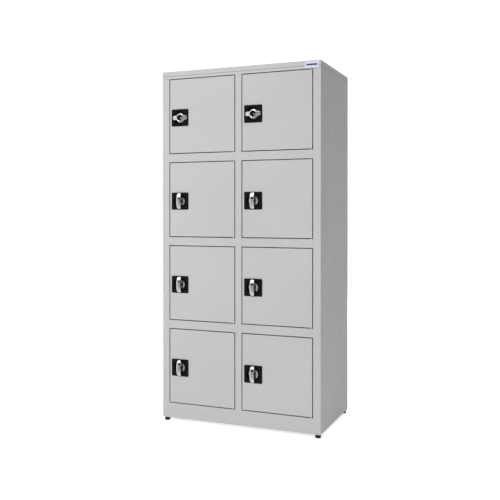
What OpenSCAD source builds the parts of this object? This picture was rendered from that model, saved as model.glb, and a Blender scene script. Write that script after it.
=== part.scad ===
// Coin operated locker: two columns of four compartments in a folded sheet steel body.
// Each door hangs on two concealed pins at its right edge. At its left edge it carries
// a coin lock: a black dished plate, a wing handle and a case with a coin slot inside.
// X runs across the front, Y to the back and Z up. The origin is on the floor,
// under the middle of the overall box. Doors are numbered from the top left, row by row.

/* [Body] */
// Width over the side panels
body_w = 850; // [800:10:900]
// Depth from the door faces to the rear flanges
body_d = 500; // [400:10:600]
// Height from the floor to the top cover
overall_h = 1800; // [1700:10:1900]
// Thickness of the folded sheet
sheet = 1; // [0.8:0.1:1.2]

/* [Frame] */
// Face width of the two outer stiles
side_stile = 38; // [34:1:44]
// Face width of the stile between the columns
centre_stile = 34; // [34:1:44]
// Face height of the top cover
top_rail = 38; // [34:1:44]
// Face height of each shelf
mid_rail = 42; // [38:1:48]
// Face height of the plinth rail
bottom_rail = 76; // [70:1:90]

/* [Doors] */
// Gap round each door
door_gap = 4.5; // [3:0.1:5]
// Depth of the door pan
door_depth = 19; // [17:1:19]
// Pin centre from the right edge of the door
pin_inset = 7; // [7:0.5:9]
// Pin centre behind the door face
pin_back = 6; // [5.5:0.5:6.5]
// Radius of a hinge pin
pin_r = 3; // [2.5:0.1:3]

/* [Locks] */
// Width of the lock plate
plate_w = 95; // [90:1:98]
// Height of the lock plate
plate_h = 87; // [84:1:92]
// Spindle centre from the left edge of the door
lock_inset = 58; // [56:1:62]
// Spindle centre below the middle of the door
lock_drop = 8; // [0:1:12]
// Length of the wing handle
wing_len = 80; // [76:1:82]
// Width of the wing handle
wing_w = 22; // [20:1:24]
// How far the arched wing stands in front of the door
wing_reach = 25; // [22:1:28]

/* [Feet] */
// Height of the body above the floor
foot_h = 18; // [18:1:24]
// Radius of a foot pad
foot_r = 14; // [12:1:15]
// Foot centre from the side of the body
foot_side = 18; // [16:1:20]
// Foot centre from the front and from the back
foot_end = 17; // [16:1:19]

/* [Hidden] */
$fn = 48;
COLUMNS = 2;
ROWS = 4;
DOORS = COLUMNS * ROWS;
SHELVES = COLUMNS * (ROWS - 1);
FEET = ["front_left", "front_right", "rear_left", "rear_right"];
eps = 0.01;

running_fit = 0.05;
opening_w = (body_w - 2 * side_stile - centre_stile) / COLUMNS;
opening_h = (overall_h - foot_h - top_rail - bottom_rail - (ROWS - 1) * mid_rail) / ROWS;
door_w = opening_w - 2 * door_gap;
door_h = opening_h - 2 * door_gap;

// Folds of the body
stile_depth = 30;
stile_lip = 16;
return_depth = 22.5;
stop_drop = 10;
rear_flange = 20;
shelf_flange = 12;
foot_flange = 50;
cap_z = overall_h - top_rail;
floor_z = foot_h + bottom_rail;
back_y = body_d - 2 * sheet;
wall_x = body_w / 2 - sheet;
web_t = sheet;
seam = 0.8;

// Rivets on the back
rivet_r = 1.6;
rivet_head_r = 3.2;
rivet_head = 1.2;
side_rivets = 8;
top_rivets = 5;

// Wall fixing holes
fixing_r = 4.5;
fixing_x = 600;
fixing_z = 1500;
fixing_mid = 950;

// Lock: depths are behind the door face
plate_t = 2.5;
plate_corner = 5;
cup_r = 36;
cup_wall = 2;
cup_floor_y = 10;
cup_back_y = cup_floor_y + cup_wall;
spindle_r = 6;
square_w = 8;
disc_r = 24;
disc_y = 3.5;
disc_back_y = 9.6;
case_w = 84;
case_up = 60;
case_down = 64;
case_back_y = 34;
case_wall = 2;
slot_w = 28;
slot_h = 3.2;
slot_z = 38;
pocket_x = 13;
pocket_w = 26;
pocket_h = 26;
cam_y = 34.5;
cam_t = 3;
cam_len = 72;
cam_w = 20;
spindle_end_y = 39.5;
wing_end_reach = 13;
wing_mid_t = 8;
wing_end_t = 3;
keyed_reach = 9;
keyed_bore_r = 15;
keyed_bore_floor = 3;
keeper_y = stile_depth;
keeper_t = 3;
keeper_reach = 10;
keeper_h = 60;

// Feet
stem_r = 5;
bush_r = 11;
bush_h = 29;
pad_h = 14;
neck_r = 8;
stem_top = foot_h + bush_h + sheet;

// The handles reach forward and the rivet heads reach back: both count in the overall box
front_y = (wing_reach - body_d - rivet_head) / 2;

paint_frame = [0.78, 0.78, 0.76];
paint_door = [0.77, 0.77, 0.79];
black = [0.08, 0.08, 0.09];
zinc = [0.7, 0.71, 0.73];
chrome = [0.85, 0.86, 0.88];

function numbered(stem, n) = [for (i = [1:n]) str(stem, "_", i)];

// Where things are: i counts from the top left, row by row
function column(i) = i % COLUMNS;
function row(i) = floor(i / COLUMNS);
function opening_x(i) = -body_w / 2 + side_stile + column(i) * (opening_w + centre_stile);
function opening_z(i) = cap_z - (row(i) + 1) * opening_h - row(i) * mid_rail;
function pin_x(i) = opening_x(i) + door_gap + door_w - pin_inset;
function lock_x(i) = opening_x(i) + door_gap + lock_inset;
function lock_z(i) = opening_z(i) + opening_h / 2 - lock_drop;
// Wing handles in the top row lie across, and their cams point to the hinge side
function rest_turn(i) = row(i) == 0 ? -90 : 0;
// Half of a shelf's rear width: from the column's outer wall to the centre web
function bay_left(i) = column(i) == 0 ? -wall_x : web_t / 2;
function bay_right(i) = column(i) == 0 ? -web_t / 2 : wall_x;
function spread(n, a, b) = [for (k = [0:n - 1]) a + (b - a) * k / (n - 1)];

module placed() {
    translate([0, front_y, 0]) children();
}

// A box from its two corners
module block(a, b) {
    translate(a) cube(b - a);
}

// A cylinder along Y, from y0 to y1
module rod_y(r, y0, y1) {
    translate([0, y0, 0]) rotate([-90, 0, 0]) cylinder(r = r, h = y1 - y0);
}

// A flat outline drawn in X and Z, from y0 to y1
module slab_y(y0, y1) {
    translate([0, y1, 0]) rotate([90, 0, 0]) linear_extrude(y1 - y0) children();
}

module rounded_rectangle(w, h, r) {
    square([w, h - 2 * r], center = true);
    square([w - 2 * r, h], center = true);
    for (sx = [-1, 1], sz = [-1, 1])
        translate([sx * (w / 2 - r), sz * (h / 2 - r)]) circle(r);
}

module round_ended_bar(len, w) {
    square([w, len - w], center = true);
    for (s = [-1, 1]) translate([0, s * (len - w) / 2]) circle(w / 2);
}

module rivet_places() {
    for (s = [-1, 1], z = spread(side_rivets, foot_h + 60, cap_z - 60))
        translate([s * (body_w / 2 - rear_flange / 2), 0, z]) children();
    for (x = spread(top_rivets, -body_w / 2 + 90, body_w / 2 - 90))
        translate([x, 0, cap_z + top_rail / 2]) children();
}

module rivet_holes() {
    rivet_places() rod_y(rivet_r, back_y - 1, body_d + 1);
}

// Holes for the pins of the doors above and below one sheet
module pin_hole(i, z) {
    translate([pin_x(i), pin_back, z - 1]) cylinder(r = pin_r, h = sheet + 2);
}

// One side of the body, with its stile, rear flange and the flange over the feet
module left_side() {
    difference() {
        translate([-body_w / 2, 0, 0]) {
            block([0, 0, foot_h], [sheet, body_d, cap_z - seam]);
            block([0, 0, foot_h], [side_stile, sheet, cap_z - seam]);
            block([side_stile - sheet, 0, foot_h], [side_stile, stile_depth, cap_z - seam]);
            block([side_stile - stile_lip, stile_depth - sheet, foot_h],
                  [side_stile, stile_depth, cap_z - seam]);
            block([0, body_d - sheet, foot_h], [rear_flange, body_d, cap_z - seam]);
            block([0, sheet, foot_h], [foot_flange, body_d, foot_h + sheet]);
            block([sheet, stile_depth + 5, cap_z - 16], [2 * sheet, back_y - 5, cap_z + 14]);
            for (y = [foot_end, body_d - foot_end])
                translate([foot_side, y, foot_h]) cylinder(r = bush_r, h = bush_h + sheet, $fn = 6);
        }
        for (y = [foot_end, body_d - foot_end])
            translate([foot_side - body_w / 2, y, foot_h - 1])
                cylinder(r = stem_r + running_fit, h = bush_h + sheet + 2);
        rivet_holes();
    }
}

module side_panel_left() {
    color(paint_frame) left_side();
}

module side_panel_right() {
    color(paint_frame) mirror([1, 0, 0]) left_side();
}

module back_panel() {
    color(paint_frame) difference() {
        block([-wall_x + sheet, back_y, foot_h + 2 * sheet],
              [wall_x - sheet, back_y + sheet, overall_h - 2 * sheet]);
        for (sx = [-1, 1], sz = [-1, 1])
            translate([sx * fixing_x / 2, 0, fixing_mid + sz * fixing_z / 2])
                rod_y(fixing_r, back_y - 1, body_d);
        rivet_holes();
    }
}

// A cap with flanges all round and the stops for the top doors
module top_cover() {
    color(paint_frame) difference() {
        union() {
            block([-body_w / 2, 0, overall_h - sheet], [body_w / 2, body_d, overall_h]);
            block([-body_w / 2, 0, cap_z], [body_w / 2, sheet, overall_h]);
            block([-body_w / 2, body_d - sheet, cap_z], [body_w / 2, body_d, overall_h]);
            for (x = [-body_w / 2, wall_x])
                block([x, 0, cap_z], [x + sheet, body_d, overall_h]);
            block([-wall_x, 0, cap_z], [wall_x, return_depth, cap_z + sheet]);
            for (i = [0:COLUMNS - 1])
                block([opening_x(i), return_depth - sheet, cap_z - stop_drop],
                      [opening_x(i) + opening_w, return_depth, cap_z + sheet]);
        }
        for (i = [0:COLUMNS - 1]) pin_hole(i, cap_z);
        rivet_holes();
    }
}

// The floor of the bottom compartments, folded down into the plinth rail
module floor_pan() {
    half = body_w / 2 - side_stile;
    color(paint_frame) difference() {
        union() {
            block([-half, 0, floor_z - sheet], [half, stile_depth, floor_z]);
            block([-wall_x, stile_depth, floor_z - sheet], [wall_x, back_y, floor_z]);
            // Tabs inside the hollow side stiles
            for (s = [0, 1]) mirror([s, 0, 0]) {
                block([-wall_x, sheet, floor_z - sheet], [-half - sheet, stile_depth - sheet, floor_z]);
                block([-wall_x, sheet, floor_z - sheet], [-half - stile_lip, stile_depth + eps, floor_z]);
            }
            block([-half, 0, foot_h], [half, sheet, floor_z]);
            block([foot_flange - body_w / 2, 0, foot_h],
                  [body_w / 2 - foot_flange, return_depth, foot_h + sheet]);
        }
        for (i = [0:COLUMNS - 1]) pin_hole(i, floor_z - sheet);
    }
}

// A closed stile at the front with a single web behind it
module centre_partition() {
    half = centre_stile / 2;
    color(paint_frame) {
        difference() {
            block([-half, 0, floor_z], [half, stile_depth, cap_z]);
            block([sheet - half, sheet, floor_z - 1], [half - sheet, stile_depth - sheet, cap_z + 1]);
        }
        block([-web_t / 2, stile_depth - eps, floor_z], [web_t / 2, back_y, overall_h - sheet]);
        block([-web_t / 2, back_y - sheet, floor_z],
              [rear_flange - web_t / 2, back_y, overall_h - 2 * sheet - shelf_flange]);
    }
}

// The sheet between two compartments, folded into the rail between their doors
module shelf(i) {
    below = i + COLUMNS;
    x0 = opening_x(i);
    x1 = x0 + opening_w;
    top = opening_z(i);
    low = top - mid_rail;
    rear_x0 = bay_left(i) + (column(i) == 1 ? rear_flange : 0);
    color(paint_frame) difference() {
        union() {
            block([x0, 0, top - sheet], [x1, stile_depth + eps, top]);
            block([bay_left(i), stile_depth, top - sheet], [bay_right(i), back_y - sheet, top]);
            block([x0, 0, low], [x1, sheet, top]);
            block([x0, 0, low], [x1, return_depth, low + sheet]);
            block([x0, return_depth - sheet, low - stop_drop], [x1, return_depth, low + sheet]);
            block([rear_x0, back_y - 2 * sheet, top - shelf_flange],
                  [bay_right(i), back_y - sheet, top]);
            for (x = [bay_left(i), bay_right(i) - sheet])
                block([x, 2 * stile_depth, top - shelf_flange], [x + sheet, back_y - 3 * sheet, top]);
        }
        pin_hole(i, top - sheet);
        pin_hole(below, low);
    }
}

// One pin, pointing up from the sheet at z = 0, with its head below and a thrust shoulder
module hinge_pin(shoulder) {
    head_r = 5;
    head_t = 2;
    reach = door_gap + 9.5;
    translate([0, 0, -sheet - head_t]) cylinder(r = head_r, h = head_t);
    translate([0, 0, -sheet]) cylinder(r = pin_r, h = sheet + reach);
    if (shoulder) cylinder(r = head_r, h = door_gap - 0.1);
}

module hinge_pins() {
    color(zinc) for (i = [0:DOORS - 1]) translate([pin_x(i), pin_back, opening_z(i)]) {
        hinge_pin(true);
        translate([0, 0, opening_h]) mirror([0, 0, 1]) hinge_pin(false);
    }
}

// Plates on the stile lips that the cams turn behind
module latch_keepers() {
    color(zinc) for (i = [0:DOORS - 1]) translate([opening_x(i), keeper_y, lock_z(i)])
        difference() {
            block([-stile_lip + 1, 0, -keeper_h / 2], [keeper_reach, keeper_t, keeper_h / 2]);
            for (s = [-1, 1]) translate([-stile_lip / 2, 0, s * keeper_h / 3])
                rod_y(2.1, -1, keeper_t + 1);
        }
}

module rivets() {
    color(zinc) rivet_places() {
        rod_y(rivet_r, back_y, body_d + eps);
        rod_y(rivet_head_r, body_d, body_d + rivet_head);
    }
}

// A plain badge at the right end of the top cover
module label_plate() {
    label_w = 70;
    label_h = 30;
    label_t = 0.6;
    color("white") translate([body_w / 2 - 9 - label_w, -label_t, cap_z + (top_rail - label_h) / 2])
        cube([label_w, label_t, label_h]);
}

// An adjustable foot, screwed in as far as it goes
module foot(name) {
    side = (name == "front_left" || name == "rear_left") ? -1 : 1;
    y = (name == "front_left" || name == "front_right") ? foot_end : body_d - foot_end;
    color(black) translate([side * (body_w / 2 - foot_side), y, 0]) rotate_extrude() polygon([
        [0, 0], [foot_r - 2, 0], [foot_r, 2], [foot_r, pad_h - 2], [foot_r - 2, pad_h],
        [neck_r, pad_h], [neck_r, foot_h - 0.5], [stem_r, foot_h - 0.5],
        [stem_r, stem_top], [0, stem_top]]);
}

// A folded pan with lips behind, an upright stiffener and a bored block at each pin
module door(i) {
    lip = 12;
    stiff_w = 50;
    stiff_x = door_w * 0.62;
    block_w = 14;
    block_h = 12;
    pin = door_w - pin_inset;
    lock = [lock_inset, 0, lock_z(i) - opening_z(i) - door_gap];
    color(paint_door) translate([opening_x(i) + door_gap, 0, opening_z(i) + door_gap]) difference() {
        union() {
            block([0, 0, 0], [door_w, sheet, door_h]);
            difference() {
                block([0, 0, 0], [door_w, door_depth, door_h]);
                block([sheet, -1, sheet], [door_w - sheet, door_depth - sheet, door_h - sheet]);
                block([lip, 1, lip], [door_w - lip, door_depth + 1, door_h - lip]);
            }
            for (x = [stiff_x, stiff_x + stiff_w - sheet])
                block([x, 0, 2 * lip], [x + sheet, door_depth - sheet, door_h - 2 * lip]);
            block([stiff_x, door_depth - 2 * sheet, 2 * lip],
                  [stiff_x + stiff_w, door_depth - sheet, door_h - 2 * lip]);
            for (z = [0, door_h - block_h])
                block([door_w - block_w, 0, z], [door_w, block_h + 1, z + block_h]);
        }
        translate(lock) rod_y(cup_r + cup_wall + 1, -1, sheet + 1);
        for (z = [-1, door_h - block_h + 1.5])
            translate([pin, pin_back, z]) cylinder(r = pin_r + running_fit, h = block_h - 0.5);
    }
}

// Everything below is drawn about the spindle axis
module at_lock(i) {
    translate([lock_x(i), 0, lock_z(i)]) children();
}

// The black plate and the dish that the handle sits in
module lock_plate(i) {
    color(black) at_lock(i) difference() {
        union() {
            slab_y(-plate_t, 0) rounded_rectangle(plate_w, plate_h, plate_corner);
            rod_y(cup_r + cup_wall, -eps, cup_back_y);
        }
        rod_y(cup_r, -plate_t - 1, cup_floor_y);
        rod_y(spindle_r + running_fit, -1, cup_back_y + 1);
    }
}

// The coin mechanism's case on the inside of the door, with its coin slot and return pocket
module lock_case(i) {
    half = case_w / 2;
    color(zinc) at_lock(i) difference() {
        block([-half, cup_back_y, -case_down], [half, case_back_y, case_up]);
        block([case_wall - half, cup_back_y + case_wall, case_wall - case_down],
              [half - case_wall, case_back_y - case_wall, case_up - case_wall]);
        rod_y(spindle_r + running_fit, 0, case_back_y + 1);
        block([-slot_w / 2, case_back_y - case_wall - 1, slot_z],
              [slot_w / 2, case_back_y + 1, slot_z + slot_h]);
        block([pocket_x, case_back_y - case_wall - 1, case_wall - case_down],
              [pocket_x + pocket_w, case_back_y + 1, case_wall - case_down + pocket_h]);
    }
}

// Radius of an arc over a chord, from its rise
function arc_r(chord, rise) = (pow(chord / 2, 2) + pow(rise, 2)) / (2 * rise);

// The arched grip: two arcs in side view, a round-ended bar from the front
module arched_wing() {
    rise = wing_reach - wing_end_reach;
    under_rise = rise - (wing_mid_t - wing_end_t);
    outer = arc_r(wing_len, rise);
    inner = arc_r(wing_len, under_rise);
    difference() {
        intersection() {
            slab_y(-wing_reach - 1, 0) round_ended_bar(wing_len, wing_w);
            translate([-wing_w, outer - wing_reach, 0]) rotate([0, 90, 0])
                cylinder(r = outer, h = 2 * wing_w, $fn = 96);
        }
        translate([-wing_w, inner - wing_reach + wing_mid_t, 0]) rotate([0, 90, 0])
            cylinder(r = inner, h = 2 * wing_w, $fn = 96);
    }
    rod_y(11, wing_mid_t / 2 - wing_reach, disc_y + 1);
}

// The flat grip of the top row, with a round bezel for the key cylinder
module keyed_wing() {
    difference() {
        union() {
            slab_y(1 - keyed_reach, 5 - keyed_reach) round_ended_bar(wing_len, wing_w);
            rod_y(disc_r - 3, -keyed_reach, disc_y + 1);
        }
        rod_y(keyed_bore_r, -keyed_reach - 1, -keyed_bore_floor);
    }
}

module handle(i) {
    color(chrome) at_lock(i) rotate([0, rest_turn(i), 0]) {
        if (row(i) == 0) keyed_wing(); else arched_wing();
        rod_y(disc_r, disc_y, disc_back_y);
        rod_y(spindle_r, disc_back_y - eps, cam_y - 0.1);
        block([-square_w / 2, cam_y - 0.2, -square_w / 2], [square_w / 2, spindle_end_y, square_w / 2]);
    }
}

// The latch arm on the spindle's square, hanging down when the wing is upright
module cam(i) {
    color(zinc) at_lock(i) rotate([0, rest_turn(i), 0]) difference() {
        union() {
            rod_y(13, cam_y, cam_y + cam_t);
            slab_y(cam_y, cam_y + cam_t) {
                translate([-cam_w / 2, cam_w / 2 - cam_len]) square([cam_w, cam_len - cam_w / 2]);
                translate([0, cam_w / 2 - cam_len]) circle(cam_w / 2);
            }
        }
        block([-square_w / 2, cam_y - 1, -square_w / 2], [square_w / 2, cam_y + cam_t + 1, square_w / 2]);
    }
}

placed() side_panel_left();
placed() side_panel_right();
placed() back_panel();
placed() top_cover();
placed() floor_pan();
placed() centre_partition();
placed() hinge_pins();
placed() latch_keepers();
placed() rivets();
placed() label_plate();
for (f = FEET)
    placed() foot(f);
for (i = [0:SHELVES - 1])
    placed() shelf(i);
for (i = [0:DOORS - 1])
    placed() door(i);
for (i = [0:DOORS - 1])
    placed() lock_plate(i);
for (i = [0:DOORS - 1])
    placed() lock_case(i);
for (i = [0:DOORS - 1])
    placed() handle(i);
for (i = [0:DOORS - 1])
    placed() cam(i);
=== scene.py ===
"""Looks of the coin operated locker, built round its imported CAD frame.

The sheet metal, cases, cams and feet are the CAD nodes with softened edges and painted or
plated finishes. The wing handles, key cylinders, rivets and small fittings are meshes made
here. Lengths are metres in the CAD frame: +X right, +Y to the back, +Z up.
"""

import math

import bmesh
import bpy
from mathutils import Matrix, Vector


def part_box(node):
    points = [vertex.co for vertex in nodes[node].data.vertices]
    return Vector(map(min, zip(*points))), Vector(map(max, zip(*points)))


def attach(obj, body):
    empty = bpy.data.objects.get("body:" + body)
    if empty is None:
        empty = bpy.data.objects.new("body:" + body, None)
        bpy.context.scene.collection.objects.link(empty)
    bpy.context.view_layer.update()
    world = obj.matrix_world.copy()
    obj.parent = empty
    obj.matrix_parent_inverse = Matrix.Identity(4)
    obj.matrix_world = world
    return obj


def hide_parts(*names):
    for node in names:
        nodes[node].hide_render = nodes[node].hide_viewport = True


MM = 0.001
ROWS = 4
COLUMNS = 2
DOORS = range(1, ROWS * COLUMNS + 1)
FEET = ("front_left", "front_right", "rear_left", "rear_right")

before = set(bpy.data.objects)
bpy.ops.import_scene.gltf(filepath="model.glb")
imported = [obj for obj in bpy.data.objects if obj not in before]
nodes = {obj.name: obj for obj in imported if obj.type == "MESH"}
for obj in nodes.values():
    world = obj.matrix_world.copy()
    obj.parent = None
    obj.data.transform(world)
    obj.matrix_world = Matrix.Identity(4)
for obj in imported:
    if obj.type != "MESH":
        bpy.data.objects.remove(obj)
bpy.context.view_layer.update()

# Places that the frame gives: the plane of the door faces, the outer skin and the seam below
# the top cover
front_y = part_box("door_1")[0].y
body_half_w, body_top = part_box("top_cover")[1].x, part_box("top_cover")[1].z
seam_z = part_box("side_panel_left")[1].z


def lock_centre(n):
    """Where the spindle's axis meets the plane of the door faces."""
    low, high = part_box(f"lock_plate_{n}")
    return Vector(((low.x + high.x) / 2, front_y, (low.z + high.z) / 2))


def top_row(n):
    return n <= COLUMNS


# ---------------------------------------------------------------- camera, floor and light

CAMERA_PLACE = Vector((1.419, front_y - 3.314, 1.079))
CAMERA_YAW = math.radians(22.26)
CAMERA_PITCH = math.radians(-0.25)
CAMERA_LENS = 52.3
CAMERA_SHIFT = -0.07
LAMP_SIZE = (1.5, 1.3)
FLOOR_HALF = 14


def make_camera():
    data = bpy.data.cameras.new("camera")
    data.lens = CAMERA_LENS
    data.sensor_width = 36
    data.shift_y = CAMERA_SHIFT
    data.clip_end = 100
    camera = bpy.data.objects.new("camera", data)
    camera.location = CAMERA_PLACE
    camera.rotation_euler = (math.radians(90) + CAMERA_PITCH, 0, CAMERA_YAW)
    bpy.context.scene.collection.objects.link(camera)
    bpy.context.scene.camera = camera


def area_light(name, place, aim, power):
    """A soft lamp that lights the object but isn't mirrored in its chrome."""
    data = bpy.data.lights.new(name, "AREA")
    data.shape = "RECTANGLE"
    data.size, data.size_y = LAMP_SIZE
    data.energy = power
    light = bpy.data.objects.new(name, data)
    light.location = place
    light.rotation_euler = (Vector(aim) - Vector(place)).to_track_quat("-Z", "Y").to_euler()
    light.visible_glossy = False
    bpy.context.scene.collection.objects.link(light)


def down_light(strength, spread):
    """A soft light from straight above, as wide as spread in degrees, for the floor and tops."""
    data = bpy.data.lights.new("down_light", "SUN")
    data.energy = strength
    data.angle = math.radians(spread)
    light = bpy.data.objects.new("down_light", data)
    light.location = (0, 0, 5)
    bpy.context.scene.collection.objects.link(light)


# Grey of the studio in reflections, against the sine of the height above the horizon
STUDIO_BANDS = ((-1.0, 0.7), (-0.8, 0.55), (-0.35, 0.31), (0.22, 0.27), (0.28, 0.0),
                (0.47, 0.0), (0.52, 1.0), (1.0, 1.0))
# A white wall to the left of the studio: it fades in between these values of X
LEFT_WALL = {"From Min": -0.44, "From Max": -0.58, "To Min": 0.0, "To Max": 0.62}
BACKDROP_LEVEL = 1.05
FILL_LEVEL = 0.05
REFLECTION_LEVEL = 1.6


def make_world():
    """A white studio: a white backdrop, a faint even light, and bands of grey for reflections."""
    world = bpy.data.worlds.new("studio")
    world.use_nodes = True
    tree = world.node_tree
    tree.nodes.clear()
    output = tree.nodes.new("ShaderNodeOutputWorld")
    path = tree.nodes.new("ShaderNodeLightPath")
    place = tree.nodes.new("ShaderNodeTexCoord")
    split = tree.nodes.new("ShaderNodeSeparateXYZ")
    spread = tree.nodes.new("ShaderNodeMapRange")
    spread.inputs["From Min"].default_value = -1
    ramp = tree.nodes.new("ShaderNodeValToRGB")
    while len(ramp.color_ramp.elements) < len(STUDIO_BANDS):
        ramp.color_ramp.elements.new(0.5)
    for element, (at, level) in zip(ramp.color_ramp.elements, STUDIO_BANDS):
        element.position = (at + 1) / 2
        element.color = (level, level, level, 1)
    tree.links.new(place.outputs["Generated"], split.inputs[0])
    tree.links.new(split.outputs["Z"], spread.inputs["Value"])
    tree.links.new(spread.outputs["Result"], ramp.inputs["Fac"])
    left = tree.nodes.new("ShaderNodeMapRange")
    for key, value in LEFT_WALL.items():
        left.inputs[key].default_value = value
    tree.links.new(split.outputs["X"], left.inputs["Value"])
    seen = tree.nodes.new("ShaderNodeMath")
    seen.operation = "MAXIMUM"
    tree.links.new(ramp.outputs["Color"], seen.inputs[0])
    tree.links.new(left.outputs["Result"], seen.inputs[1])

    def background(level, colour=None):
        made = tree.nodes.new("ShaderNodeBackground")
        made.inputs["Color"].default_value = (1, 1, 1, 1)
        made.inputs["Strength"].default_value = level
        if colour:
            tree.links.new(colour, made.inputs["Color"])
        return made.outputs[0]

    def choose(question, no, yes):
        made = tree.nodes.new("ShaderNodeMixShader")
        tree.links.new(path.outputs[question], made.inputs["Fac"])
        tree.links.new(no, made.inputs[1])
        tree.links.new(yes, made.inputs[2])
        return made.outputs[0]

    mirrored = background(REFLECTION_LEVEL, seen.outputs[0])
    lit = choose("Is Glossy Ray", background(FILL_LEVEL), mirrored)
    whole = choose("Is Camera Ray", lit, background(BACKDROP_LEVEL))
    tree.links.new(whole, output.inputs["Surface"])
    bpy.context.scene.world = world


def make_floor():
    """A white floor that glows a little, so that it stays white under the object too."""
    corners = [(x * FLOOR_HALF, y * FLOOR_HALF, 0) for x, y in ((-1, -1), (1, -1), (1, 1), (-1, 1))]
    mesh = bpy.data.meshes.new("floor")
    mesh.from_pydata(corners, [], [(0, 1, 2, 3)])
    floor = bpy.data.objects.new("floor", mesh)
    bpy.context.scene.collection.objects.link(floor)
    paint = bpy.data.materials.new("floor")
    paint.use_nodes = True
    shader = paint.node_tree.nodes["Principled BSDF"]
    shader.inputs["Base Color"].default_value = (0.9, 0.9, 0.9, 1)
    shader.inputs["Roughness"].default_value = 0.9
    shader.inputs["Specular IOR Level"].default_value = 0.1
    shader.inputs["Emission Color"].default_value = (1, 1, 1, 1)
    shader.inputs["Emission Strength"].default_value = 0.6
    mesh.materials.append(paint)
    floor.visible_glossy = False


make_camera()
make_world()
make_floor()
area_light("key", place=(-1.8, -4.8, 3.3), aim=(0, -0.2, 0.9), power=178)
area_light("back_light", place=(0.2, 5.0, 2.8), aim=(0, 0.3, 0.9), power=90)
down_light(strength=1.4, spread=26)
bpy.context.scene.view_settings.view_transform = "Standard"


# ---------------------------------------------------------------- materials

class Paint:
    """A node material with short calls for the nodes that the finishes share."""

    def __init__(self, name):
        self.material = bpy.data.materials.new(name)
        self.material.use_nodes = True
        self.tree = self.material.node_tree
        self.shader = self.tree.nodes["Principled BSDF"]
        self.place = self.node("ShaderNodeTexCoord").outputs["Object"]

    def node(self, kind, **settings):
        made = self.tree.nodes.new(kind)
        for key, value in settings.items():
            setattr(made, key, value)
        return made

    def link(self, source, target):
        self.tree.links.new(source, target)

    def set(self, **values):
        names = {"roughness": "Roughness", "metallic": "Metallic", "ior": "IOR",
                 "coat": "Coat Weight", "coat_roughness": "Coat Roughness",
                 "specular": "Specular IOR Level"}
        for key, value in values.items():
            self.shader.inputs[names[key]].default_value = value

    def stretched(self, scale):
        made = self.node("ShaderNodeMapping")
        made.inputs["Scale"].default_value = scale
        self.link(self.place, made.inputs["Vector"])
        return made.outputs["Vector"]

    def noise(self, scale, detail=3.0, rough=0.5, at=None):
        made = self.node("ShaderNodeTexNoise")
        made.inputs["Scale"].default_value = scale
        made.inputs["Detail"].default_value = detail
        made.inputs["Roughness"].default_value = rough
        self.link(at or self.place, made.inputs["Vector"])
        return made.outputs["Fac"]

    def ramp(self, source, stops):
        made = self.node("ShaderNodeValToRGB")
        elements = made.color_ramp.elements
        while len(elements) < len(stops):
            elements.new(0.5)
        for element, (at, colour) in zip(elements, stops):
            element.position = at
            element.color = (*colour, 1) if hasattr(colour, "__len__") else (colour,) * 3 + (1,)
        self.link(source, made.inputs["Fac"])
        return made.outputs["Color"]

    def range(self, source, low, high, to_low, to_high):
        made = self.node("ShaderNodeMapRange")
        ends = {"From Min": low, "From Max": high, "To Min": to_low, "To Max": to_high}
        for key, value in ends.items():
            made.inputs[key].default_value = value
        self.link(source, made.inputs["Value"])
        return made.outputs["Result"]

    def math(self, operation, a, b):
        made = self.node("ShaderNodeMath", operation=operation)
        for socket, value in zip(made.inputs, (a, b)):
            if isinstance(value, (int, float)):
                socket.default_value = value
            else:
                self.link(value, socket)
        return made.outputs[0]

    def mix(self, factor, a, b, blend="MIX"):
        made = self.node("ShaderNodeMix", data_type="RGBA", blend_type=blend)
        for index, value in ((0, factor), (6, a), (7, b)):
            socket = made.inputs[index]
            if isinstance(value, (int, float)):
                socket.default_value = value
            elif isinstance(value, tuple):
                socket.default_value = (*value, 1)
            else:
                self.link(value, socket)
        return made.outputs[2]

    def axis(self, letter):
        split = self.node("ShaderNodeSeparateXYZ")
        self.link(self.place, split.inputs[0])
        return split.outputs[letter]

    def painted_gap_shade(self):
        """Painted gap shade: 1 just behind the fronts and inside the outer skin, 0 elsewhere."""
        depth = self.math("SUBTRACT", self.axis("Y"), front_y)
        mask = self.math("MULTIPLY", self.range(depth, 1.2 * MM, 3.5 * MM, 0, 1),
                         self.range(depth, 13 * MM, 21 * MM, 1, 0))
        across = self.math("ABSOLUTE", self.axis("X"), 0)
        for value, skin in ((across, body_half_w), (self.axis("Z"), body_top)):
            inside = self.range(value, skin - 3 * MM, skin - 2 * MM, 1, 0)
            mask = self.math("MULTIPLY", mask, inside)
        return mask

    def seam_line(self):
        """A thin dark line of dirt under the top cover's edge on the outer skin."""
        off = self.math("ABSOLUTE", self.math("SUBTRACT", self.axis("Z"), seam_z), 0)
        return self.range(off, 0.8 * MM, 1.8 * MM, 0.75, 0)

    def colour(self, source):
        self.link(source, self.shader.inputs["Base Color"])

    def rough(self, source):
        self.link(source, self.shader.inputs["Roughness"])

    def bump(self, *layers):
        """Each layer is (height, strength, distance); they add up."""
        normal = None
        for source, strength, distance in layers:
            made = self.node("ShaderNodeBump")
            made.inputs["Strength"].default_value = strength
            made.inputs["Distance"].default_value = distance
            self.link(source, made.inputs["Height"])
            if normal is not None:
                self.link(normal, made.inputs["Normal"])
            normal = made.outputs["Normal"]
        self.link(normal, self.shader.inputs["Normal"])


# Painted shade in the door gaps, and the dirt of the top cover's seam, leave this much of the paint's
# own tone
GAP_SHADE_AND_SEAM_DIRT_TONE = 0.33
FRAME_GREY = (0.485, 0.489, 0.476)
DOOR_GREY = (0.485, 0.482, 0.496)


def shade(colour, factor):
    return tuple(c * factor for c in colour)


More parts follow.
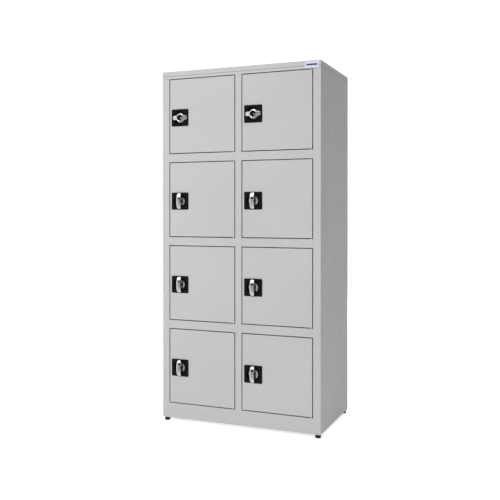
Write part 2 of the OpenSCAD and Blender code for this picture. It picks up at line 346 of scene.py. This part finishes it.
def powder_coat(name, base, seam=False):
    """Oven-baked powder paint: orange peel, slow drifts of tone, scuffs low down, painted shade
    on the walls of the gaps round the doors, and dirt along the top cover's seam."""
    p = Paint(name)
    drift = p.ramp(p.noise(2.6, 2), ((0.3, shade(base, 0.975)), (0.7, shade(base, 1.02))))
    speckle = p.ramp(p.noise(520, 2), ((0.35, 0.965), (0.65, 1.0)))
    coat = p.mix(1.0, drift, speckle, "MULTIPLY")
    low = p.range(p.axis("Z"), 0.02, 0.35, 1.0, 0.0)
    scuff = p.math("MULTIPLY", low, p.range(p.noise(46, 6, 0.7), 0.56, 0.78, 0.0, 0.5))
    scuffed = p.mix(scuff, coat, shade(base, 0.62))
    # Painted shade on the gap walls behind the door fronts; on the frame also the seam's dark dirt
    # line
    gap_shade_and_seam_dirt = p.painted_gap_shade()
    if seam:
        gap_shade_and_seam_dirt = p.math("MAXIMUM", gap_shade_and_seam_dirt, p.seam_line())
    p.colour(p.mix(gap_shade_and_seam_dirt, scuffed, shade(base, GAP_SHADE_AND_SEAM_DIRT_TONE)))
    p.rough(p.range(p.noise(18, 4), 0.3, 0.7, 0.36, 0.5))
    p.bump((p.noise(420, 1.5), 0.22, 0.00025), (p.noise(1500, 1), 0.12, 0.0001))
    return p.material


def moulded_plastic(name, base, grain, rough, specular=0.3):
    """Spark-textured moulding with handled, slightly shinier patches."""
    p = Paint(name)
    p.set(specular=specular)
    p.colour(p.ramp(p.noise(90, 4), ((0.35, base), (0.7, shade(base, 1.7)))))
    p.rough(p.range(p.noise(35, 4), 0.3, 0.7, rough - 0.07, rough + 0.09))
    p.bump((p.noise(grain, 2, 0.6), 0.3, 0.0002), (p.noise(60, 2), 0.05, 0.001))
    return p.material


def zinc_plate(name):
    """Bright zinc with a fine rolled grain and cloudy patches."""
    p = Paint(name)
    p.set(metallic=1.0)
    cloud = p.ramp(p.noise(30, 5, 0.6), ((0.3, (0.47, 0.49, 0.51)), (0.7, (0.62, 0.63, 0.64))))
    grain = p.ramp(p.noise(9, 4, at=p.stretched((60, 60, 4))), ((0.3, 0.9), (0.7, 1.0)))
    p.colour(p.mix(1.0, cloud, grain, "MULTIPLY"))
    p.rough(p.range(p.noise(55, 4), 0.3, 0.7, 0.24, 0.42))
    p.bump((p.noise(9, 4, at=p.stretched((90, 90, 5))), 0.12, 0.0001))
    return p.material


def chrome_plate(name):
    """Plated zinc casting with a satin polish: soft flow marks and finger haze."""
    p = Paint(name)
    p.set(metallic=1.0)
    p.colour(p.ramp(p.noise(40, 3), ((0.3, (0.62, 0.63, 0.65)), (0.7, (0.7, 0.71, 0.72)))))
    p.rough(p.range(p.noise(120, 5, 0.6), 0.35, 0.75, 0.07, 0.18))
    p.bump((p.noise(70, 2), 0.06, 0.001), (p.noise(900, 2), 0.04, 0.0001))
    return p.material


def gloss_film(name, base):
    """Printed label film with a faint ripple."""
    p = Paint(name)
    p.colour(p.ramp(p.noise(60, 3), ((0.3, shade(base, 0.96)), (0.7, base))))
    p.rough(p.range(p.noise(150, 3), 0.3, 0.7, 0.18, 0.3))
    p.bump((p.noise(45, 2), 0.05, 0.0005))
    return p.material


frame_paint = powder_coat("frame_paint", FRAME_GREY, seam=True)
door_paint = powder_coat("door_paint", DOOR_GREY)
lock_plastic = moulded_plastic("lock_plastic", (0.0025, 0.0025, 0.003), 1400, 0.46, 0.16)
foot_plastic = moulded_plastic("foot_plastic", (0.012, 0.012, 0.012), 900, 0.55)
rubber = moulded_plastic("rubber", (0.02, 0.02, 0.02), 700, 0.75)
zinc = zinc_plate("zinc_plate")
chrome = chrome_plate("chrome_plate")
badge_ground = gloss_film("badge_ground", (0.62, 0.64, 0.7))
badge_blue = gloss_film("badge_blue", (0.03, 0.06, 0.3))


# ---------------------------------------------------------------- CAD nodes

def roll_edges(target, width, segments, angle):
    """Bevels the edges that turn by more than an angle in degrees."""
    bevel = target.modifiers.new("soft_edges", "BEVEL")
    bevel.width = width
    bevel.segments = segments
    bevel.limit_method = "ANGLE"
    bevel.angle_limit = math.radians(angle)
    bevel.harden_normals = True


def soften(node, width):
    """Rolls a CAD node's sharp edges over, as folding and paint do on the real sheet."""
    weld = node.modifiers.new("weld", "WELD")
    weld.merge_threshold = 0.02 * MM
    roll_edges(node, width, segments=2, angle=40)


def dress(name, material, edge):
    node = nodes[name]
    node.data.materials.clear()
    node.data.materials.append(material)
    soften(node, edge)


BODY_SHEETS = ["side_panel_left", "side_panel_right", "back_panel", "top_cover", "floor_pan",
               "centre_partition"] + [f"shelf_{n}" for n in range(1, 7)]
for name in BODY_SHEETS:
    dress(name, frame_paint, 0.4 * MM)
for n in DOORS:
    dress(f"door_{n}", door_paint, 0.45 * MM)
    dress(f"lock_plate_{n}", lock_plastic, 0.5 * MM)
    dress(f"lock_case_{n}", zinc, 0.5 * MM)
    dress(f"cam_{n}", zinc, 0.3 * MM)
for name in ("hinge_pins", "latch_keepers"):
    dress(name, zinc, 0.3 * MM)
for name in FEET:
    dress(f"foot_{name}", foot_plastic, 0.5 * MM)
dress("label_plate", badge_ground, 0.15 * MM)


# ---------------------------------------------------------------- mesh building

def piece(name, body, material, build, edge=None, replaces=()):
    """Makes a named piece from a function that fills a bmesh, and puts it on a CAD body."""
    mesh = bpy.data.meshes.new(name)
    shape = bmesh.new()
    build(shape)
    bmesh.ops.remove_doubles(shape, verts=shape.verts, dist=1e-6)
    bmesh.ops.recalc_face_normals(shape, faces=shape.faces)
    for face in shape.faces:
        face.smooth = True
    shape.to_mesh(mesh)
    shape.free()
    mesh.set_sharp_from_angle(angle=math.radians(35))
    mesh.materials.append(material)
    made = bpy.data.objects.new(name, mesh)
    bpy.context.scene.collection.objects.link(made)
    if edge:
        roll_edges(made, edge, segments=3, angle=35)
    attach(made, body)
    if replaces:
        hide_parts(*replaces)
    return made


def spoke(radius, depth, turn):
    """A point at a radius and a depth from the origin, at a part of a turn round the Y axis."""
    angle = 2 * math.pi * turn
    return Vector((radius * math.cos(angle), depth, radius * math.sin(angle)))


def lathe(shape, profile, place, segments=64):
    """Turns a profile of (radius, depth behind place) round the Y axis through place."""
    rings = []
    for radius, depth in profile:
        if radius == 0:
            rings.append([shape.verts.new(place + Vector((0, depth, 0)))])
            continue
        rings.append([shape.verts.new(place + spoke(radius, depth, k / segments))
                      for k in range(segments)])
    for first, second in zip(rings, rings[1:]):
        bridge(shape, first, second)


def bridge(shape, first, second):
    """Faces between two rings, either of which may be a single point."""
    count = max(len(first), len(second))
    for k in range(count):
        following = (k + 1) % count
        corners = [first[k % len(first)], first[following % len(first)],
                   second[following % len(second)], second[k % len(second)]]
        corners = [c for i, c in enumerate(corners) if c not in corners[:i]]
        shape.faces.new(corners)


def closed_loft(shape, rings):
    """Skins rings of points and caps both ends."""
    made = [[shape.verts.new(point) for point in ring] for ring in rings]
    for first, second in zip(made, made[1:]):
        bridge(shape, first, second)
    shape.faces.new(made[0])
    shape.faces.new(made[-1])


def brick(shape, low, high):
    low, high = Vector(low), Vector(high)
    made = bmesh.ops.create_cube(shape, size=1)["verts"]
    for vert in made:
        vert.co = Vector([(a + b) / 2 + c * (b - a) for a, b, c in zip(low, high, vert.co)])


def superellipse(half_w, half_t, power, count=32):
    """Points of a rounded bar's section: width first, thickness second."""
    points = []
    for k in range(count):
        angle = 2 * math.pi * (k + 0.5) / count
        c, s = math.cos(angle), math.sin(angle)
        points.append((half_w * math.copysign(abs(c) ** (2 / power), c),
                       half_t * math.copysign(abs(s) ** (2 / power), s)))
    return points


# ---------------------------------------------------------------- wing handles

# Depths are behind the door face, and reaches are in front of it
WING_LEN, WING_W = 80 * MM, 22 * MM
WING_REACH, WING_END_REACH = 25 * MM, 13 * MM
WING_MID_T, WING_END_T = 7.6 * MM, 3.2 * MM
WING_LAST_RING = 0.9985
WING_TIP_POWER, WING_SECTION_POWER = 9, 3.2
KEYED_REACH = 9 * MM
KEYED_ROOT_T, KEYED_THINNING, KEYED_FALL = 4.2 * MM, 1.4 * MM, 3.2 * MM
BEZEL_R, BORE_R, BORE_FLOOR = 21 * MM, 15 * MM, 3 * MM
DISC_R, DISC_FRONT, DISC_BACK = 24 * MM, 3.5 * MM, 9.6 * MM
DISC_RIM = 0.8 * MM
HUB_R, HUB_BACK = 6 * MM, 4.5 * MM
SPINDLE_R, SQUARE = 6 * MM, 4 * MM
SPINDLE_SHOULDER, SPINDLE_END = 34.3 * MM, 39.5 * MM
KEY_R, KEY_REACH = 14.8 * MM, 7.4 * MM
KEY_CYLINDER_R, KEY_CYLINDER_REACH = 5.0 * MM, 8.3 * MM
KEY_OFFSET = Vector((8.0 * MM, 0, -3.4 * MM))


def grip_section(u, face, thickness):
    """One ring of the grip at u, from -1 to 1 along it, with its front at the reach of face."""
    fade = (1 - abs(u) ** WING_TIP_POWER) ** (1 / 3)
    ring = superellipse(WING_W / 2 * fade, thickness / 2 * max(fade, 0.2), WING_SECTION_POWER)
    return [Vector((x, thickness / 2 - face + y, u * WING_LEN / 2)) for x, y in ring]


def arched_grip(shape):
    """One bow over the disc, thickest in the middle, on a round hub."""
    count = 28
    rings = []
    for k in range(count + 1):
        u = WING_LAST_RING * math.sin(math.pi / 2 * (2 * k / count - 1))
        thickness = WING_END_T + (WING_MID_T - WING_END_T) * (1 - u * u)
        face = WING_REACH - (WING_REACH - WING_END_REACH) * u * u
        rings.append(grip_section(u, face, thickness))
    closed_loft(shape, rings)
    hub_front = WING_MID_T / 2 - WING_REACH
    lathe(shape, [(0, hub_front), (HUB_R, hub_front), (HUB_R, HUB_BACK), (0, HUB_BACK)], Vector())


def keyed_grip(shape):
    """Two wings that end in the wall of a round bezel and fall away towards their tips."""
    count = 14
    root = 2 * (BORE_R + 2.5 * MM) / WING_LEN
    for side in (-1, 1):
        rings = []
        for k in range(count + 1):
            along = math.sin(math.pi / 2 * k / count)
            u = side * (root + (WING_LAST_RING - root) * along)
            face = KEYED_REACH - 1 * MM - KEYED_FALL * along
            rings.append(grip_section(u, face, KEYED_ROOT_T - KEYED_THINNING * along))
        closed_loft(shape, rings)
    front = -KEYED_REACH
    lathe(shape, [(0, -BORE_FLOOR), (BORE_R, -BORE_FLOOR), (BORE_R, front + 1 * MM),
                  (BORE_R + 1 * MM, front), (BEZEL_R - 3.6 * MM, front),
                  (BEZEL_R - 0.8 * MM, front + 1.6 * MM), (BEZEL_R, front + 3.2 * MM),
                  (BEZEL_R, HUB_BACK), (0, HUB_BACK)], Vector())


def handle_shape(n):
    """The whole casting about the spindle axis, turned to its rest position and put in place."""
    def build(shape):
        if top_row(n):
            keyed_grip(shape)
        else:
            arched_grip(shape)
        lathe(shape, [(0, DISC_FRONT), (DISC_R - DISC_RIM, DISC_FRONT),
                      (DISC_R - DISC_RIM * 0.3, DISC_FRONT + DISC_RIM * 0.3),
                      (DISC_R, DISC_FRONT + DISC_RIM), (DISC_R, DISC_BACK), (0, DISC_BACK)], Vector())
        lathe(shape, [(0, DISC_BACK), (SPINDLE_R, DISC_BACK), (SPINDLE_R, SPINDLE_SHOULDER),
                      (0, SPINDLE_SHOULDER)], Vector(), 40)
        brick(shape, (-SQUARE, SPINDLE_SHOULDER, -SQUARE), (SQUARE, SPINDLE_END, SQUARE))
        turn = Matrix.Rotation(math.radians(-90 if top_row(n) else 0), 4, "Y")
        shape.transform(Matrix.Translation(lock_centre(n)) @ turn)
    return build


def sleeve(n):
    """The black sleeve and flange round the hub of an arched handle."""
    def build(shape):
        lathe(shape, [(HUB_R, -16 * MM), (9 * MM, -15 * MM), (9.6 * MM, -6 * MM),
                      (10.8 * MM, 0.6 * MM), (11.2 * MM, 2.4 * MM), (11.4 * MM, DISC_FRONT),
                      (HUB_R, DISC_FRONT)], lock_centre(n))
    return build


def key_plug(n):
    """The black plug in the bezel of a top-row handle."""
    def build(shape):
        front, back = -KEY_REACH, -BORE_FLOOR - 0.05 * MM
        lathe(shape, [(0, front), (KEY_R - 1.6 * MM, front), (KEY_R - 0.8 * MM, front - 0.5 * MM),
                      (KEY_R - 0.2 * MM, front - 0.3 * MM), (KEY_R, front + 0.3 * MM),
                      (KEY_R, back), (0, back)], lock_centre(n))
    return build


def key_cylinder(n):
    """The small cylinder beside the plug's middle."""
    def build(shape):
        front, back = -KEY_CYLINDER_REACH, -KEY_REACH + 0.2 * MM
        lathe(shape, [(0, front), (KEY_CYLINDER_R - 0.4 * MM, front),
                      (KEY_CYLINDER_R, front + 0.3 * MM), (KEY_CYLINDER_R, back),
                      (0, back)], lock_centre(n) + KEY_OFFSET, 40)
    return build


def keyway_shade_patch(n):
    """A black patch on the face of the key cylinder: painted shade in place of the keyway slot."""
    def build(shape):
        face = lock_centre(n) + KEY_OFFSET - Vector((0, KEY_CYLINDER_REACH, 0))
        brick(shape, face + Vector((-3.0, -0.2, -1.3)) * MM, face + Vector((4.0, 0.1, 1.3)) * MM)
    return build


for n in DOORS:
    piece(f"wing_handle_{n}", f"handle_{n}", chrome, handle_shape(n),
          replaces=[f"handle_{n}"])
    if top_row(n):
        piece(f"key_plug_{n}", f"handle_{n}", lock_plastic, key_plug(n))
        piece(f"key_cylinder_{n}", f"handle_{n}", zinc, key_cylinder(n))
        # A black patch of painted shade in place of the keyway slot
        piece(f"keyway_{n}", f"handle_{n}", lock_plastic, keyway_shade_patch(n), edge=0.1 * MM)
    else:
        piece(f"sleeve_{n}", f"handle_{n}", lock_plastic, sleeve(n))


# ---------------------------------------------------------------- small fittings

CAM_BACK, WASHER_BACK = 37.5 * MM, 38.7 * MM
WASHER_R, NUT_R, NUT_H = 9 * MM, 7.5 * MM, 4.2 * MM
CASE_SCREW_X, CASE_SCREW_UP, CASE_SCREW_DOWN = 36 * MM, 54 * MM, 58 * MM
RIVET_HEAD = 1.2 * MM


def hexagon_nut(shape, place, radius, depth, height):
    closed_loft(shape, [[place + spoke(radius, d, k / 6) for k in range(6)]
                        for d in (depth, depth + height)])


def cam_fixing(n):
    """The washer and nut that hold the cam on its square."""
    def build(shape):
        centre = lock_centre(n)
        lathe(shape, [(0, CAM_BACK), (WASHER_R, CAM_BACK), (WASHER_R, WASHER_BACK),
                      (0, WASHER_BACK)], centre, 40)
        hexagon_nut(shape, centre, NUT_R, WASHER_BACK, NUT_H)
    return build


def case_screws(n):
    """Four screws in the corners of the lock case."""
    def build(shape):
        centre = lock_centre(n)
        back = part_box(f"lock_case_{n}")[1].y - centre.y
        head = [(0, back), (3.4 * MM, back), (3.4 * MM, back + 1.0 * MM),
                (2.4 * MM, back + 2.0 * MM), (0, back + 2.3 * MM)]
        for x in (-CASE_SCREW_X, CASE_SCREW_X):
            for z in (-CASE_SCREW_DOWN, CASE_SCREW_UP):
                lathe(shape, head, centre + Vector((x, 0, z)), 24)
    return build


def rivet_heads(shape):
    """Domed heads of the blind rivets, at the CAD rivets' places."""
    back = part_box("rivets")[1].y
    rims = [v.co for v in nodes["rivets"].data.vertices if abs(v.co.y - back) < 0.01 * MM]
    centres = []
    for point in rims:
        if all((point - centre).length > 20 * MM for centre in centres):
            near = [q for q in rims if (q - point).length < 10 * MM]
            centres.append(sum(near, Vector()) / len(near))
    for centre in centres:
        lathe(shape, [(0, 0), (3.2 * MM, 0), (3.15 * MM, 0.35 * MM), (2.5 * MM, 0.85 * MM),
                      (1.5 * MM, 1.12 * MM), (1.2 * MM, 1.15 * MM), (1.0 * MM, 0.6 * MM),
                      (0, 0.5 * MM)], Vector((centre.x, back - RIVET_HEAD, centre.z)), 24)


for n in DOORS:
    piece(f"cam_fixing_{n}", f"handle_{n}", zinc, cam_fixing(n), edge=0.3 * MM)
    piece(f"case_screws_{n}", f"door_{n}", zinc, case_screws(n))
piece("rivet_heads", "cabinet", zinc, rivet_heads, replaces=["rivets"])


def door_buffers(n):
    """Two soft pads on the back lip of the door, which meet the stop above it."""
    def build(shape):
        low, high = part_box(f"door_{n}")
        for share in (0.2, 0.8):
            place = Vector((low.x + share * (high.x - low.x), high.y, high.z - 6 * MM))
            lathe(shape, [(0, 0), (4.5 * MM, 0), (4.4 * MM, 1.2 * MM), (3.4 * MM, 1.9 * MM),
                          (0, 2.1 * MM)], place, 32)
    return build


def badge_bar(shape):
    """The plain blue bar across the badge."""
    low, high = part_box("label_plate")
    wide = high.x - low.x
    tall = high.z - low.z
    brick(shape, (low.x + 0.12 * wide, low.y - 0.15 * MM, low.z + 0.36 * tall),
          (high.x - 0.12 * wide, low.y + 0.1 * MM, low.z + 0.64 * tall))


for n in DOORS:
    piece(f"door_buffers_{n}", f"door_{n}", rubber, door_buffers(n))
piece("badge_bar", "cabinet", badge_blue, badge_bar, edge=0.05 * MM)
